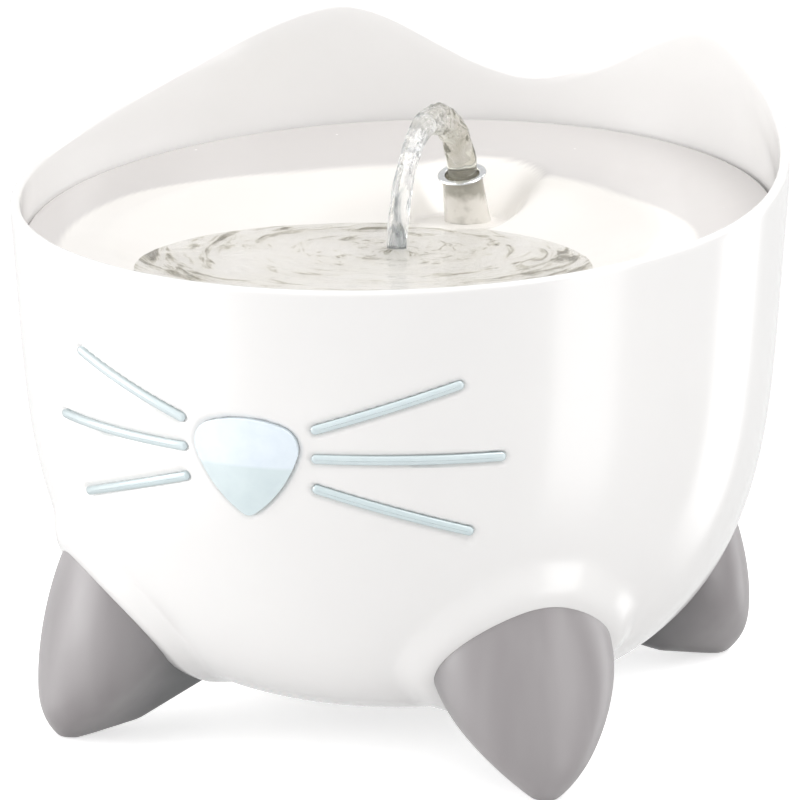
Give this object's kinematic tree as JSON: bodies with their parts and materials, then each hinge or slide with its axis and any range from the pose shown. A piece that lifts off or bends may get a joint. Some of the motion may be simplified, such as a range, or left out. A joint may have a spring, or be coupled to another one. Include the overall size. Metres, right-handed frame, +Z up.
{
  "type": "pet water fountain",
  "caption": "Round white pet water fountain with ear-shaped rear wall, grey feet, tilted drinking dish, stream nozzle, submersible pump and filter",
  "frame": {"origin": "on the floor in the middle of the object's bounding box, within half a millimetre of the bowl's axis", "axes": "+Z up; the face with nose and whiskers looks towards -Y; +X is to the right of someone who looks from the front at the face"},
  "size_m": [0.227, 0.2264, 0.1935],
  "materials": {
    "gloss_white": "glossy white injection-moulded plastic",
    "gloss_white_dish": "glossy warm white plastic",
    "satin_white": "satin white plastic",
    "foot_grey": "satin mid-grey plastic",
    "ice_window": "translucent pale blue glossy plastic",
    "clear_nozzle": "translucent clear plastic",
    "ring_chrome": "thin bright metal trim",
    "black_silicone": "soft black silicone",
    "grey_silicone": "soft dark grey silicone",
    "filter_grey": "dark grey plastic",
    "foam_white": "white open-cell filter foam",
    "foam_dark": "dark open-cell foam",
    "carbon_felt": "felt pad filled with carbon grains",
    "core_steel": "laminated steel",
    "copper_winding": null,
    "screw_steel": "stainless steel",
    "impeller_blue": "blue moulded plastic",
    "ferrite": "sintered ferrite magnet",
    "ceramic": "polished ceramic",
    "board_green": "green circuit board",
    "water": "clear moving water"
  },
  "bodies": {
    "bowl": {"bowl": "gloss_white", "foot_front_left": "foot_grey", "foot_front_right": "foot_grey", "foot_rear_left": "foot_grey", "foot_rear_right": "foot_grey", "nose_window": "ice_window", "whisker_upper_left": "ice_window", "whisker_middle_left": "ice_window", "whisker_lower_left": "ice_window", "whisker_upper_right": "ice_window", "whisker_middle_right": "ice_window", "whisker_lower_right": "ice_window", "cable_grommet": "grey_silicone"},
    "pump": {"motor_housing": "satin_white", "base_plate": "satin_white", "suction_cups": "grey_silicone", "stator_core": "core_steel", "stator_coils": "copper_winding", "pump_head": "satin_white", "head_seal": "black_silicone", "head_screws": "screw_steel", "rotor_shaft": "ceramic", "shaft_bushes": "black_silicone", "led_lens": "clear_nozzle", "led_board": "board_green", "cable_gland": "grey_silicone", "riser_tube": "clear_nozzle", "riser_seal": "black_silicone"},
    "rotor": {"impeller": "impeller_blue", "rotor_magnet": "ferrite"},
    "intake": {"intake_cover": "satin_white", "intake_foam": "foam_dark"},
    "knob": {"flow_knob": "foot_grey"},
    "tray": {"filter_tray": "satin_white"},
    "cartridge": {"filter_frame": "filter_grey", "filter_foam": "foam_white", "filter_carbon_pad": "carbon_felt"},
    "dish": {"dish": "gloss_white_dish", "water_pool": "water"},
    "nozzle": {"nozzle": "clear_nozzle", "nozzle_ring": "ring_chrome", "nozzle_seal": "black_silicone", "water_stream": "water"}
  },
  "joints": [
    {"name": "pump_lift", "type": "slide", "parent": "bowl", "child": "pump", "axis": [0, 0, 1], "range_m": [0, 0.15]},
    {"name": "impeller_spin", "type": "hinge", "parent": "pump", "child": "rotor", "pos_m": [0, 0.037, 0.04], "axis": [0, 0, 1], "continuous": true},
    {"name": "intake_cover_pull", "type": "slide", "parent": "pump", "child": "intake", "axis": [0, 0, 1], "range_m": [0, 0.012]},
    {"name": "flow_knob_turn", "type": "hinge", "parent": "pump", "child": "knob", "pos_m": [0, 0.019, 0.049], "axis": [0, -1, 0], "range_deg": [0, 90]},
    {"name": "tray_lift", "type": "slide", "parent": "pump", "child": "tray", "axis": [0, 0, 1], "range_m": [0, 0.1]},
    {"name": "cartridge_lift", "type": "slide", "parent": "tray", "child": "cartridge", "axis": [0, 0, 1], "range_m": [0, 0.04]},
    {"name": "dish_lift", "type": "slide", "parent": "cartridge", "child": "dish", "axis": [0, 0, 1], "range_m": [0, 0.12]},
    {"name": "nozzle_pull", "type": "slide", "parent": "dish", "child": "nozzle", "axis": [0, 0, 1], "range_m": [0, 0.02]}
  ]
}
